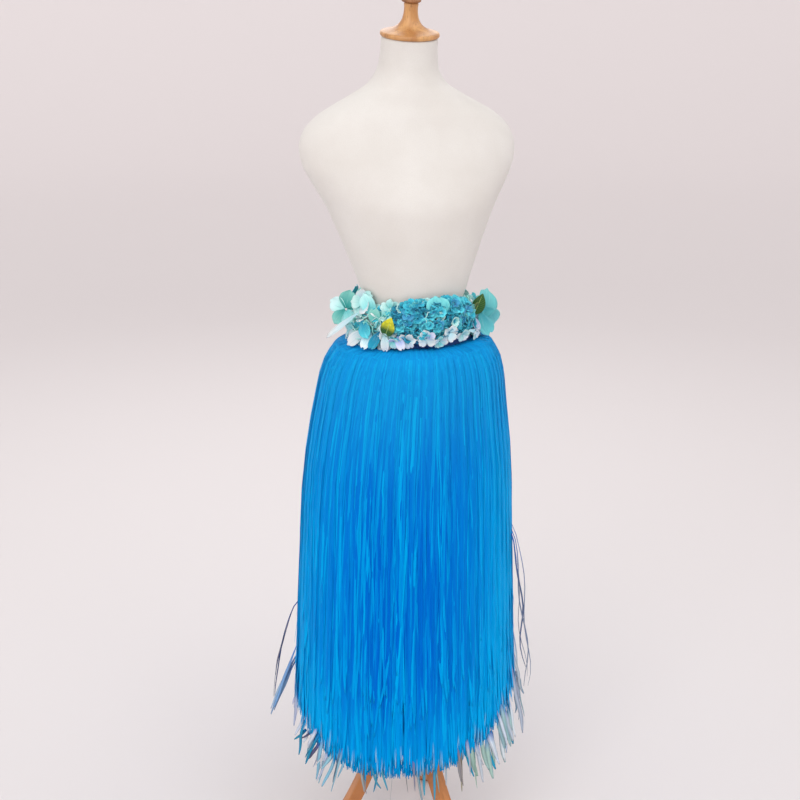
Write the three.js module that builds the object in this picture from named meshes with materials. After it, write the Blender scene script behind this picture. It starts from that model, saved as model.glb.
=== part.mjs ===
// A grass skirt with a flower belt, worn by a limbless dress form on a turned wooden tripod stand.
//
// Millimetres, +Z up. The skirt's front faces -Y and +X is on the viewer's right. An angle "round" the
// skirt or the form starts at the middle of the front and grows towards +X.
//
// The skirt is a waistband that hugs the form, and sixteen hanks of strands that hang from it side by
// side, each a thin folded wall with a ragged tip. Two stray locks swing out of its sides. The belt is
// two staggered rows of five-petalled cloth blooms, sewn to the waistband by their calyxes, with leaves.

import * as THREE from "three";

// ---- Fits ----
const GAP = 0.3; // between pieces that rest on each other, and between hanks at the waistband
const HUG = 0.4; // between one wall and the sloping wall it lies on, measured level

// ---- Dress form: level sections from the neck down, as ellipses; lean tips a section forward ----
const FORM_SEGMENTS = 48;
const FORM_SECTIONS = [
  { z: 1496, halfWidth: 45, halfDepth: 45, centreY: -8, lean: 10 },
  { z: 1470, halfWidth: 46, halfDepth: 47, centreY: -4, lean: 8 },
  { z: 1446, halfWidth: 50, halfDepth: 52, centreY: 1, lean: 5 },
  { z: 1427, halfWidth: 62, halfDepth: 58, centreY: 4, lean: 2 },
  { z: 1410, halfWidth: 88, halfDepth: 64, centreY: 5, lean: 0 },
  { z: 1393, halfWidth: 120, halfDepth: 69, centreY: 5, lean: 0 },
  { z: 1374, halfWidth: 152, halfDepth: 75, centreY: 3, lean: 0 },
  { z: 1352, halfWidth: 173, halfDepth: 81, centreY: 1, lean: 0 },
  { z: 1328, halfWidth: 181, halfDepth: 88, centreY: -3, lean: 0 },
  { z: 1300, halfWidth: 177, halfDepth: 96, centreY: -8, lean: 0 },
  { z: 1270, halfWidth: 162, halfDepth: 103, centreY: -14, lean: 0 },
  { z: 1237, halfWidth: 143, halfDepth: 108, centreY: -19, lean: 0 },
  { z: 1203, halfWidth: 128, halfDepth: 104, centreY: -22, lean: 0 },
  { z: 1157, halfWidth: 110, halfDepth: 93, centreY: -28, lean: 0 },
  { z: 1105, halfWidth: 91, halfDepth: 80, centreY: -35, lean: 0 },
  { z: 1062, halfWidth: 78, halfDepth: 72, centreY: -39, lean: 0 },
  { z: 1032, halfWidth: 85, halfDepth: 75, centreY: -38, lean: 0 },
  { z: 1002, halfWidth: 106, halfDepth: 86, centreY: -35, lean: 0 },
  { z: 975, halfWidth: 122, halfDepth: 95, centreY: -31, lean: 0 },
  { z: 942, halfWidth: 136, halfDepth: 103, centreY: -24, lean: 0 },
  { z: 905, halfWidth: 146, halfDepth: 109, centreY: -17, lean: 0 },
  { z: 868, halfWidth: 150, halfDepth: 112, centreY: -11, lean: 0 },
  { z: 835, halfWidth: 148, halfDepth: 110, centreY: -8, lean: 0 },
  { z: 808, halfWidth: 138, halfDepth: 102, centreY: -5, lean: 0 },
  { z: 792, halfWidth: 122, halfDepth: 89, centreY: -2, lean: 0 },
  { z: 786, halfWidth: 102, halfDepth: 74, centreY: 0, lean: 0 },
];
const FORM_TOP = FORM_SECTIONS[0];
const FORM_BOTTOM = FORM_SECTIONS.at(-1);

// ---- Skirt ----
const BAND = { levels: [1062, 1032, 1002], wall: 2.5 }; // from the waist down, level with sections of the form
const HANKS = 16;
const FOLDS_PER_HANK = 8; // fold lines, crest and valley in turn
const HANK_TOP = 1016;
// The hem is lowest where the skirt's own middle faces, at angle turn, and rises late towards the sides.
const HEM = { front: 228, sideRise: 83, power: 3.2, turn: -16, notch: 34, tip: 22, seam: 5 };
// Level sections of the strands' outer face: wall is the thickness, ridge the height of a fold.
const SKIRT_SECTIONS = [
  { z: 1016, halfWidth: 104.7, halfDepth: 89.4, centreY: -36.4, wall: 5, ridge: 0 },
  { z: 1010, halfWidth: 122, halfDepth: 103, centreY: -35.8, wall: 8, ridge: 0 },
  { z: 992, halfWidth: 140, halfDepth: 117, centreY: -33.5, wall: 6, ridge: 2 },
  { z: 962, halfWidth: 153, halfDepth: 126, centreY: -29, wall: 4.5, ridge: 2.5 },
  { z: 905, halfWidth: 167, halfDepth: 135, centreY: -19, wall: 3, ridge: 3 },
  { z: 800, halfWidth: 183, halfDepth: 147, centreY: -7, wall: 3, ridge: 3 },
  { z: 620, halfWidth: 195, halfDepth: 156, centreY: 3, wall: 3, ridge: 3.5 },
  { z: 460, halfWidth: 203, halfDepth: 162, centreY: 7, wall: 3, ridge: 4 },
  { z: 380, halfWidth: 206, halfDepth: 164.5, centreY: 8, wall: 2.5, ridge: 4 },
  { z: 210, halfWidth: 202, halfDepth: 161, centreY: 8, wall: 1.2, ridge: 3 },
];

// ---- Stray locks: swing is how far a lock stands off the skirt, narrow its share of full width ----
const STRAYS = [
  { name: "stray_lock_left", fold: 90 },
  { name: "stray_lock_right", fold: 28 },
];
const STRAY_WALL = 2;
const STRAY_SECTIONS = [
  { z: 620, swing: 0, narrow: 0.9 },
  { z: 460, swing: 0, narrow: 0.9 },
  { z: 400, swing: 13, narrow: 0.7 },
  { z: 345, swing: 28, narrow: 0.45 },
  { z: 285, swing: 44, narrow: 0.15 },
];

// ---- Flower belt ----
const BLOOMS_PER_ROW = 6;
const BLOOM_ROWS = [
  { petal: 37, calyx: 9, z: 1055, turn: -8 },
  { petal: 37, calyx: 25, z: 1049, turn: 22 },
];
const PETALS = 5;
const VALLEY = 0.62; // reach of the notch between two petals
const CALYX_RADIUS = 4.2;
// Rings of a bloom from its middle to its rim: reaches are shares of the petal, face and back are
// heights over the top of the calyx. The two inner rings of the back are the calyx and its flat end.
const BLOOM_RINGS = [
  { reach: 0, face: 5 },
  { reach: 0.12, face: 4.5 },
  { reach: 0.28, face: 3.2, backReach: 0.24, back: 0.2 },
  { reach: 0.62, face: 5.4, backReach: 0.6, back: 3.4 },
  { reach: 1, face: 12, backReach: 0.99, back: 10.2 },
];
const LEAF = { length: 46, width: 18, stalk: 4, wall: 1.2, curl: 4, z: 1057, rise: 74 };
const LEAF_TURNS = [-38, 22, 142, -158];

// ---- Turned wood and stand ----
const LATHE_SEGMENTS = 32;
const BASE_DISC = { radius: 46, height: 11 };
const POLE_RADIUS = 14;
const HUB = { acrossFlats: 62, top: 412, bottom: 326 };
const LEG = { count: 3, turn: 29, width: 25, bevel: 2, curveSteps: 7 };
// Side edges of a leg, [distance from the stand's axis, height]: a flat against the hub, the pull of
// the curve, and the end of the flat foot.
const LEG_OUTER = { hub: 394, pull: [52, 165], foot: 178 };
const LEG_INNER = { hub: 346, pull: [33, 145], foot: 152 };

// ---- Materials ----
const WOOD = { color: 0xcf9c5c, roughness: 0.42, metalness: 0 };
const DARK_WOOD = { color: 0x8f5f35, roughness: 0.4, metalness: 0 };
const FORM_CLOTH = { color: 0xf2efe9, roughness: 0.9, metalness: 0 };
const STRAND_BLUE = { color: 0x0f8ce0, roughness: 0.38, metalness: 0 };
const STRAY_BLUE = { color: 0x5fb4d8, roughness: 0.4, metalness: 0 };
const BAND_BLUE = { color: 0x0a5fae, roughness: 0.8, metalness: 0 };
const PETAL_PALE = { color: 0xa8e6ec, roughness: 0.75, metalness: 0 };
const PETAL_TEAL = { color: 0x45a9b8, roughness: 0.75, metalness: 0 };
const LEAF_GREEN = { color: 0x3f8a45, roughness: 0.6, metalness: 0 };

const radians = THREE.MathUtils.degToRad;
const FOLDS = HANKS * FOLDS_PER_HANK;
const FOLD_STEP = (2 * Math.PI) / FOLDS;

// Repeatable value from 0 to 1 that jumps about as n counts up: it makes like pieces uneven.
function uneven(n) {
  const s = 43758.5 * Math.sin(12.9898 * n + 4.1);
  return s - Math.floor(s);
}

// The columns of a table of sections at height z, straight between its rows.
function sectionAt(sections, z) {
  const last = sections.length - 1;
  const next = sections.findIndex((s) => s.z <= z);
  const below = sections[next < 0 ? last : Math.max(next, 1)];
  const above = sections[sections.indexOf(below) - 1];
  const share = THREE.MathUtils.clamp((above.z - z) / (above.z - below.z), 0, 1);
  const mixed = {};
  for (const key of Object.keys(above)) mixed[key] = THREE.MathUtils.lerp(above[key], below[key], share);
  return mixed;
}

// A point of a section moved out by `out`, at an angle round it.
function onSection(section, angle, out, z = section.z) {
  return [
    (section.halfWidth + out) * Math.sin(angle),
    section.centreY - (section.halfDepth + out) * Math.cos(angle),
    z,
  ];
}

// Closed wall between two grids of points, face(i, j) and back(i, j), for i = 0..columns, j = 0..rows.
// The face looks along (direction of j) x (direction of i). A ring closes on itself over i. Points of
// a grid that coincide are one corner, so a grid may run to a tip or an axis.
function wall(columns, rows, face, back, ring = false) {
  const corners = new Map();
  const positions = [];
  const index = [];
  const corner = (point) => {
    const key = point.map((value) => value.toFixed(4)).join();
    if (!corners.has(key)) {
      corners.set(key, corners.size);
      positions.push(...point);
    }
    return corners.get(key);
  };
  const triangle = (a, b, c) => {
    if (a !== b && b !== c && c !== a) index.push(a, b, c);
  };
  const quad = (a, b, c, d) => {
    triangle(a, b, c);
    triangle(a, c, d);
  };
  const lines = ring ? columns : columns + 1;
  const grid = (point) =>
    Array.from({ length: lines }, (_, i) => Array.from({ length: rows + 1 }, (_, j) => corner(point(i, j))));
  const f = grid(face);
  const b = grid(back);
  for (let i = 0; i < columns; i++) {
    const n = (i + 1) % lines;
    for (let j = 0; j < rows; j++) {
      quad(f[i][j], f[i][j + 1], f[n][j + 1], f[n][j]);
      quad(b[i][j], b[n][j], b[n][j + 1], b[i][j + 1]);
    }
    quad(f[i][0], f[n][0], b[n][0], b[i][0]);
    quad(b[i][rows], b[n][rows], f[n][rows], f[i][rows]);
  }
  for (let j = 0; j < rows && !ring; j++) {
    quad(f[0][j], b[0][j], b[0][j + 1], f[0][j + 1]);
    quad(f[columns][j], f[columns][j + 1], b[columns][j + 1], b[columns][j]);
  }
  const geometry = new THREE.BufferGeometry();
  geometry.setAttribute("position", new THREE.Float32BufferAttribute(positions, 3));
  geometry.setIndex(index);
  geometry.computeVertexNormals();
  return geometry;
}

function mesh(name, geometry, material) {
  const made = new THREE.Mesh(geometry, new THREE.MeshStandardMaterial(material));
  made.name = name;
  return made;
}

// Turned piece: its profile is a list of [radius, height] that starts and ends on the axis.
function turned(name, profile, material) {
  const points = profile.map(([radius, height]) => new THREE.Vector2(radius, height));
  const geometry = new THREE.LatheGeometry(points, LATHE_SEGMENTS);
  geometry.rotateX(Math.PI / 2);
  return mesh(name, geometry, material);
}

// ---- Dress form ----

// A section's ring, tipped forward by its lean; the back grid is its middle, which fills the form.
function dressForm() {
  const face = (i, j) => {
    const section = FORM_SECTIONS[j];
    const angle = (2 * Math.PI * i) / FORM_SEGMENTS;
    const depth = -section.halfDepth * Math.cos(angle);
    const lean = radians(section.lean);
    return [
      section.halfWidth * Math.sin(angle),
      section.centreY + depth * Math.cos(lean),
      section.z + depth * Math.sin(lean),
    ];
  };
  const middle = (i, j) => [0, FORM_SECTIONS[j].centreY, FORM_SECTIONS[j].z];
  const geometry = wall(FORM_SEGMENTS, FORM_SECTIONS.length - 1, face, middle, true);
  return mesh("dress_form", geometry, FORM_CLOTH);
}

// Wooden cap and finial on the sloping top of the neck.
function neckTop() {
  const capHeight = 52;
  const cap = turned(
    "neck_cap",
    [
      [0, 0], [44, 0], [47.5, 2.5], [47.5, 5.5], [44, 8], [37, 9.5], [27, 13], [19, 18.5],
      [14, 26], [11.4, 35], [10.8, capHeight], [0, capHeight],
    ],
    WOOD,
  );
  const ball = { radius: 19, height: 27 };
  const ballArc = [-58, -42, -24, -6, 12, 30, 48, 66].map((degrees) => [
    ball.radius * Math.cos(radians(degrees)),
    ball.height + ball.radius * Math.sin(radians(degrees)),
  ]);
  const finial = turned(
    "finial",
    [[0, 0], [13, 0], [15.5, 3], [13, 6], [9.5, 8.5], ...ballArc, [0, ball.height + ball.radius]],
    DARK_WOOD,
  );
  finial.position.z = capHeight + GAP;
  const top = new THREE.Group().add(cap, finial);
  const lean = radians(FORM_TOP.lean);
  top.position.set(0, FORM_TOP.centreY - GAP * Math.sin(lean), FORM_TOP.z + GAP * Math.cos(lean));
  top.rotation.x = lean;
  return top;
}

// ---- Skirt ----

// Ribbon wall on the slope of the form, straight between its sections.
function waistband() {
  const { levels } = BAND;
  const at = (out) => (i, j) =>
    onSection(sectionAt(FORM_SECTIONS, levels[j]), (2 * Math.PI * i) / FORM_SEGMENTS, out, levels[j]);
  return mesh("waistband", wall(FORM_SEGMENTS, levels.length - 1, at(HUG + BAND.wall), at(HUG), true), BAND_BLUE);
}

// Angle of a fold line; lines that lie on a seam between hanks stay evenly spaced.
function foldAngle(fold) {
  const onSeam = fold % FOLDS_PER_HANK === 0;
  return (fold + (onSeam ? 0 : 0.36 * (uneven(fold) - 0.5))) * FOLD_STEP;
}

// How far a fold line stands out of the skirt's section: even lines are crests, odd ones valleys.
function foldRise(section, fold) {
  const line = (fold + FOLDS) % FOLDS;
  const side = line % 2 === 0 ? 1 : -1;
  return side * section.ridge * (0.5 + uneven(line));
}

// Height of the ragged tip on a fold line: the sides hang higher, and valleys end above crests.
function tipHeight(fold) {
  const line = (fold + FOLDS) % FOLDS;
  const side = Math.abs(Math.sin(foldAngle(line) - radians(HEM.turn))) ** HEM.power;
  const ragged = line % 2 === 0 ? HEM.tip * uneven(line + 7) : HEM.notch * (0.45 + 0.55 * uneven(line + 3));
  return HEM.front + HEM.sideRise * side + ragged;
}

// Half the opening of a seam as an angle: closed to the gap at the waistband, wider towards the hem.
function seamAngle(section, angle) {
  const drop = (HANK_TOP - section.z) / (HANK_TOP - HEM.front);
  const width = THREE.MathUtils.lerp(GAP, HEM.seam, Math.max(drop, 0));
  const arc = Math.hypot(section.halfWidth * Math.cos(angle), section.halfDepth * Math.sin(angle));
  return width / 2 / arc;
}

function hank(number) {
  const first = number * FOLDS_PER_HANK;
  const lastRow = SKIRT_SECTIONS.length - 1;
  const point = (inner) => (i, j) => {
    const section = SKIRT_SECTIONS[j];
    const fold = first + i;
    let angle = foldAngle(fold);
    if (i === 0) angle += seamAngle(section, angle);
    if (i === FOLDS_PER_HANK) angle -= seamAngle(section, angle);
    const out = foldRise(section, fold) - (inner ? section.wall : 0);
    return onSection(section, angle, out, j === lastRow ? tipHeight(fold) : section.z);
  };
  const geometry = wall(FOLDS_PER_HANK, lastRow, point(false), point(true));
  return mesh("hank_" + String(number + 1).padStart(2, "0"), geometry, STRAND_BLUE);
}

// A lock that lies on a crest of the skirt, made from the crest's own points moved out, then swings off.
function strayLock({ name, fold }) {
  const point = (outer) => (i, j) => {
    const row = STRAY_SECTIONS[j];
    const section = sectionAt(SKIRT_SECTIONS, row.z);
    const crest = foldAngle(fold);
    const angle = crest + (foldAngle(fold + i - 1) - crest) * row.narrow;
    const crestRise = foldRise(section, fold);
    const rise = THREE.MathUtils.lerp(crestRise, foldRise(section, fold + i - 1), row.narrow);
    return onSection(section, angle, rise + 2 * GAP + row.swing + (outer ? STRAY_WALL : 0), row.z);
  };
  return mesh(name, wall(2, STRAY_SECTIONS.length - 1, point(true), point(false)), STRAY_BLUE);
}

// ---- Flower belt ----

// Cupped bloom on its calyx: the calyx's flat end is at the origin and the face looks along +Z.
function bloomGeometry({ petal, calyx }) {
  const columns = 3 * PETALS;
  const ringPoint = (i, reach, height) => {
    const angle = (2 * Math.PI * i) / columns;
    const lobe = i % 3 === 0 ? THREE.MathUtils.lerp(1, VALLEY, reach ** 2) : 1;
    const radius = petal * reach * lobe;
    return [radius * Math.cos(angle), radius * Math.sin(angle), height];
  };
  const face = (i, j) => ringPoint(i, BLOOM_RINGS[j].reach, calyx + BLOOM_RINGS[j].face);
  const back = (i, j) => {
    if (j < 2) return ringPoint(i, (j * CALYX_RADIUS) / petal, 0);
    return ringPoint(i, BLOOM_RINGS[j].backReach, calyx + BLOOM_RINGS[j].back);
  };
  return wall(columns, BLOOM_RINGS.length - 1, face, back, true);
}

// The waistband's outer face at an angle round it and a height: a point, the direction round the band,
// and the direction straight out of its slope.
function bandFace(angle, z) {
  const at = (turn, height) =>
    new THREE.Vector3(...onSection(sectionAt(FORM_SECTIONS, height), turn, HUG + BAND.wall, height));
  const round = at(angle + 0.01, z).sub(at(angle - 0.01, z)).normalize();
  const down = at(angle, z - 1).sub(at(angle, z + 1));
  return { point: at(angle, z), round, normal: down.cross(round).normalize() };
}

// Sews a bloom on the band, with the flat end of its calyx along the band's face.
function seatBloom(bloom, turn, z, spin) {
  const { point, round, normal } = bandFace(radians(turn), z);
  const across = new THREE.Vector3().crossVectors(normal, round);
  bloom.quaternion.setFromRotationMatrix(new THREE.Matrix4().makeBasis(round, across, normal));
  bloom.rotateZ(radians(spin));
  bloom.position.copy(point).addScaledVector(normal, GAP);
  return bloom;
}

// Sews a leaf on the band by its stalk; it stands almost straight up behind the blooms.
function seatLeaf(leaf, turn) {
  const { point, round, normal } = bandFace(radians(turn), LEAF.z);
  const out = normal.clone().setZ(0).normalize();
  const length = new THREE.Vector3(0, 0, Math.sin(radians(LEAF.rise)));
  length.addScaledVector(out, Math.cos(radians(LEAF.rise)));
  const face = new THREE.Vector3().crossVectors(round, length);
  leaf.quaternion.setFromRotationMatrix(new THREE.Matrix4().makeBasis(round, length, face));
  leaf.position.copy(point).addScaledVector(out, GAP);
  return leaf;
}

function blooms() {
  const made = [];
  BLOOM_ROWS.forEach((row, rowNumber) => {
    const geometry = bloomGeometry(row);
    const material = rowNumber === 0 ? PETAL_PALE : PETAL_TEAL;
    for (let k = 0; k < BLOOMS_PER_ROW; k++) {
      const name = "bloom_" + String(made.length + 1).padStart(2, "0");
      const turn = row.turn + (360 * k) / BLOOMS_PER_ROW;
      const spin = 72 * uneven(made.length);
      made.push(seatBloom(mesh(name, geometry, material), turn, row.z, spin));
    }
  });
  return made;
}

// Pointed leaf on a stalk: the stalk's end is at the origin, the length runs along +Y.
function leafGeometry() {
  const shares = [1, 0.75, 0.45, 0.2, 0];
  const halfWidths = [0, 0.62, 1, 0.7, LEAF.stalk / LEAF.width].map((share) => (share * LEAF.width) / 2);
  const point = (thickness) => (i, j) => [
    halfWidths[j] * (i - 1),
    LEAF.length * shares[j],
    thickness + LEAF.curl * shares[j] ** 2 - 0.12 * halfWidths[j] * (i === 1 ? 1 : 0),
  ];
  return wall(2, shares.length - 1, point(LEAF.wall), point(0));
}

function leaves() {
  const geometry = leafGeometry();
  return LEAF_TURNS.map((turn, k) => seatLeaf(mesh("leaf_" + (k + 1), geometry, LEAF_GREEN), turn));
}

// ---- Stand ----

function legGeometry() {
  const seat = HUB.acrossFlats / 2 + GAP;
  const side = new THREE.Shape();
  side.moveTo(seat, LEG_INNER.hub);
  side.quadraticCurveTo(...LEG_INNER.pull, LEG_INNER.foot, 0);
  side.lineTo(LEG_OUTER.foot, 0);
  side.quadraticCurveTo(...LEG_OUTER.pull, seat, LEG_OUTER.hub);
  const geometry = new THREE.ExtrudeGeometry(side, {
    curveSegments: LEG.curveSteps,
    depth: LEG.width - 2 * LEG.bevel,
    bevelThickness: LEG.bevel,
    bevelSize: LEG.bevel,
    bevelOffset: -LEG.bevel,
    bevelSegments: 2,
  });
  geometry.translate(0, 0, LEG.bevel - LEG.width / 2);
  geometry.rotateX(Math.PI / 2);
  return geometry;
}

function stand() {
  const group = new THREE.Group();
  const discTop = FORM_BOTTOM.z - GAP;
  const { radius, height } = BASE_DISC;
  const disc = turned("base_disc", [[0, 0], [radius - 3, 0], [radius, 3], [radius, height], [0, height]], WOOD);
  disc.position.z = discTop - height;
  const poleTop = discTop - height - GAP;
  const poleLength = poleTop - HUB.top - GAP;
  const pole = turned("pole", [[0, 0], [POLE_RADIUS, 0], [POLE_RADIUS, poleLength], [0, poleLength]], WOOD);
  pole.position.z = HUB.top + GAP;
  const cornerRadius = HUB.acrossFlats / 2 / Math.cos(Math.PI / 6);
  const hubGeometry = new THREE.CylinderGeometry(cornerRadius, cornerRadius, HUB.top - HUB.bottom, 6);
  hubGeometry.rotateX(Math.PI / 2);
  const hub = mesh("hub", hubGeometry, WOOD);
  hub.position.z = (HUB.top + HUB.bottom) / 2;
  group.add(disc, pole, hub);
  const leg = legGeometry();
  for (let k = 0; k < LEG.count; k++) {
    const made = mesh("leg_" + (k + 1), leg, WOOD);
    made.rotation.z = (2 * Math.PI * k) / LEG.count;
    group.add(made);
  }
  group.rotation.z = radians(LEG.turn - 90);
  return group;
}

// ---- The part, moved so that its box stands on Z = 0 and is centred on X = Y = 0 ----
const part = new THREE.Group();
part.add(dressForm(), neckTop(), stand(), waistband());
for (let number = 0; number < HANKS; number++) part.add(hank(number));
part.add(...STRAYS.map(strayLock), ...blooms(), ...leaves());
part.updateMatrixWorld(true);
const box = new THREE.Box3().setFromObject(part, true);
const middle = box.getCenter(new THREE.Vector3());
part.position.set(-middle.x, -middle.y, -box.min.z);

export default part;
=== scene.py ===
"""A grass skirt with a flower belt, on a limbless dress form and a turned wooden tripod stand.

Metres, +Z up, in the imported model's frame; the skirt's front faces -Y. An angle "round" starts at the
middle of the front and grows towards +X. Tables hold millimetres and degrees, from the stand's axis;
they are turned into metres and radians where they are read.
"""

import math

import bpy
import numpy as np
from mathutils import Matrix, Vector


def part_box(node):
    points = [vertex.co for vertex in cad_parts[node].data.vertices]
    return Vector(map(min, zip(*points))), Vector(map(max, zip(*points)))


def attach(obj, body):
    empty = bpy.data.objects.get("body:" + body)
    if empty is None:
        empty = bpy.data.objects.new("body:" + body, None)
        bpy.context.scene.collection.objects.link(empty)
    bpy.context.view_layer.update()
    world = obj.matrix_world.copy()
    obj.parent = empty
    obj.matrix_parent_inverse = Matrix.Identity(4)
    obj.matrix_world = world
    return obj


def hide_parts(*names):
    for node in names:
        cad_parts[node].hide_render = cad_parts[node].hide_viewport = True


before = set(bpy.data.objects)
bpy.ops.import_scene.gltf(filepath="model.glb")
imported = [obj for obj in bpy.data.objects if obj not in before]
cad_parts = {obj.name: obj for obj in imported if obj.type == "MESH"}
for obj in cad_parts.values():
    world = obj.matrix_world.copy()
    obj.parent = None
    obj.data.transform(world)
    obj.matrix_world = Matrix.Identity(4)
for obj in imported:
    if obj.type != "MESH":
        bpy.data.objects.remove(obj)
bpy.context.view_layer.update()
BODY = "root"
MM = 0.001
TAU = 2 * math.pi

pole_low, pole_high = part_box("pole")
AXIS = np.array([(pole_low.x + pole_high.x) / 2, (pole_low.y + pole_high.y) / 2, 0.0])

# ---- Dress form: level sections: height, half width, half depth, centre in depth, lean ----
FORM_SECTIONS = np.array([
    (1496, 45, 45, -8, 10), (1470, 46, 47, -4, 8), (1446, 50, 52, 1, 5), (1427, 62, 58, 4, 2),
    (1410, 88, 64, 5, 0), (1393, 120, 69, 5, 0), (1374, 152, 75, 3, 0), (1352, 173, 81, 1, 0),
    (1328, 181, 88, -3, 0), (1300, 177, 96, -8, 0), (1270, 162, 103, -14, 0), (1237, 143, 108, -19, 0),
    (1203, 128, 104, -22, 0), (1157, 110, 93, -28, 0), (1105, 91, 80, -35, 0), (1062, 78, 72, -39, 0),
    (1032, 85, 75, -38, 0), (1002, 106, 86, -35, 0), (975, 122, 95, -31, 0), (942, 136, 103, -24, 0),
    (905, 146, 109, -17, 0), (868, 150, 112, -11, 0), (835, 148, 110, -8, 0), (808, 138, 102, -5, 0),
    (792, 122, 89, -2, 0), (786, 102, 74, 0, 0),
], float)
HUG = 0.4 * MM  # between the ribbon and the form under it

# ---- Waist ribbon ----
RIBBON_TOP, RIBBON_BOTTOM = 1062 * MM, 1002 * MM
RIBBON_WALL = 2.5 * MM

# ---- Skirt: level sections of the strands' outer face, and the height of a fold ----
SKIRT_SECTIONS = np.array([
    (1016, 104.7, 89.4, -36.4, 0), (1010, 125, 105, -35.8, 0), (992, 143.5, 119, -33.5, 2),
    (962, 156, 128, -29, 2.5), (905, 167, 135, -19, 3), (800, 183, 147, -7, 3), (620, 195, 156, 3, 3.5),
    (460, 203, 162, 7, 4), (380, 206, 164.5, 8, 4), (210, 202, 161, 8, 3),
], float)
FOLDS = 128  # fold lines, crest and valley in turn
HEM_FRONT, HEM_SIDE_RISE, HEM_POWER = 226 * MM, 83 * MM, 3.2
SKIRT_TURN = math.radians(-16)  # where the skirt's own middle faces
STRAND_WIDTH = 4.4 * MM
STRAND_CROWN = 0.35 * MM
# Layers: strands in each quarter of the skirt, how far inside the outer face they lie, and the shares of
# them that cross others, are short, and have a pale tip
OUTER_LAYER = (640, (0, 1.6), 0.13, 0.08, 0.2)
INNER_LAYER = (300, (2, 6), 0.0, 0.05, 0.1)
# Shares of a strand's length at its rings: close together at the waist, where it bends, and at the tip
STRAND_RINGS = np.array([
    0, 0.004, 0.012, 0.03, 0.055, 0.09, 0.14, 0.21, 0.3, 0.4, 0.5, 0.6, 0.7, 0.79, 0.86, 0.915, 0.95,
    0.978, 1,
])

# ---- How a strand hangs ----
STRAND_TOP, TOP_SPREAD = 1015, 3  # height, and how much lower some start
ON_RIBBON = 0.014  # share of its length over which it leaves the ribbon
FOLD_FOLLOWED = 0.3  # share of the folds' height that its line follows
DRIFT, CREST_PULL = 0.9, 0.45  # typical drift to one side; most that a fold's crest draws it in
CROSSING_DRIFT, CROSSING_DEPTH = (2, 9), 0.25  # a strand that crosses others; it lies near the face
RAGGED, SHORT_BY = 34, (20, 190)  # how far over the hem most tips and short strands' tips end
FLICK_FROM, SPLAY = 0.86, 3.5  # where its tip begins to swing, and how far out
# Waves: size in millimetres, or in degrees for the twist, and how many there are down its length
LONG_SWAY, SHORT_SWAY, BILLOW, TWIST = (1.5, 2.2), (0.9, 5.1), (0.5, 3.1), (7, 1.3)

# ---- Colours, as 0 to 255 ----
BLUE_DEEP, BLUE_MID, BLUE_LIGHT = (0, 92, 200), (0, 104, 208), (0, 172, 240)
BLUE_HIP_HIGHLIGHT = (30, 172, 230)  # painted highlight where the strands bend over the hips and face the light from above
TIP_PALE = (196, 232, 238)
EDGE_PAINTED_SHADE = 0.62  # share of a loose strand's colour kept on its two edges: painted shade that outlines it
LEAF_DARK, LEAF_BRIGHT = (20, 84, 30), (234, 232, 40)
# The floor's painted light and shade from the middle out, at shares of FLOOR_SHADED metres: lighter round
# the stand, darker further out, a little lighter again far out
FLOOR_SHADED = 12
FLOOR_PAINTED_LIGHT = [(0.08, (228, 224, 224)), (0.35, (220, 214, 214)), (0.9, (224, 217, 217))]
# Loose strands, by side. A row: degrees round from and to, how many, lowest and highest start, lowest and
# highest tip, least and greatest reach outward, drift in degrees, bend, how far it sways, width, tip colours
LOOSE_STRANDS = {
    "left": [
        (252, 258, 5, 385, 420, 268, 290, 44, 56, 0, 0.95, 1, 8, [(176, 204, 232), (150, 188, 226)]),
        (253, 262, 3, 455, 530, 290, 345, 42, 52, 0, 0.6, 1, 3, [(58, 48, 52), (150, 140, 150)]),
        (258, 270, 5, 330, 420, 246, 300, 8, 20, -2, 1, 1, 6, [(236, 232, 244), (206, 214, 232)]),
        (276, 300, 11, 270, 306, 206, 262, 10, 24, -4, 0.85, 1, 6,
         [(104, 92, 104), (60, 164, 190), (240, 246, 250), (170, 214, 218)]),
        (298, 322, 12, 256, 290, 186, 230, 8, 20, -4, 0.85, 1, 6.5,
         [(56, 164, 204), (130, 160, 180), (244, 248, 252), (170, 220, 226)]),
        (322, 352, 9, 250, 284, 166, 206, 1, 7, 0, 1, 1, 5.5,
         [(84, 168, 190), (176, 168, 160), (206, 214, 196)]),
    ],
    "right": [
        (66, 74, 4, 600, 680, 300, 360, 22, 32, 2, 0.5, 8, 3,
         [(150, 154, 164), (190, 192, 200), (110, 112, 120)]),
        (64, 80, 9, 340, 440, 200, 300, 10, 32, 2, 1, 2, 6.5,
         [(206, 214, 220), (150, 176, 182), (222, 232, 232)]),
        (40, 62, 12, 290, 332, 185, 245, 8, 22, 3, 0.85, 1, 8.5,
         [(70, 180, 200), (196, 234, 218), (236, 246, 250)]),
        (-8, 18, 9, 250, 284, 166, 206, 1, 7, 0, 1, 1, 5.5,
         [(160, 176, 170), (184, 168, 128), (220, 228, 214), (90, 176, 198)]),
        (18, 42, 13, 256, 292, 172, 218, 6, 16, 3, 0.85, 1, 9,
         [(60, 184, 206), (200, 234, 204), (240, 248, 252)]),
    ],
}


def linear(colour):
    """Linear light of a colour or an array of colours given as 0 to 255."""
    share = np.asarray(colour, float) / 255
    return np.where(share <= 0.04045, share / 12.92, ((share + 0.055) / 1.055) ** 2.4)


def uneven(n):
    """Value from 0 to 1 that jumps about as n counts up: the fraction of a large sine, as in the source."""
    s = 43758.5 * np.sin(12.9898 * np.asarray(n, float) + 4.1)
    return s - np.floor(s)


# ---------------- shaders


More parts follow.
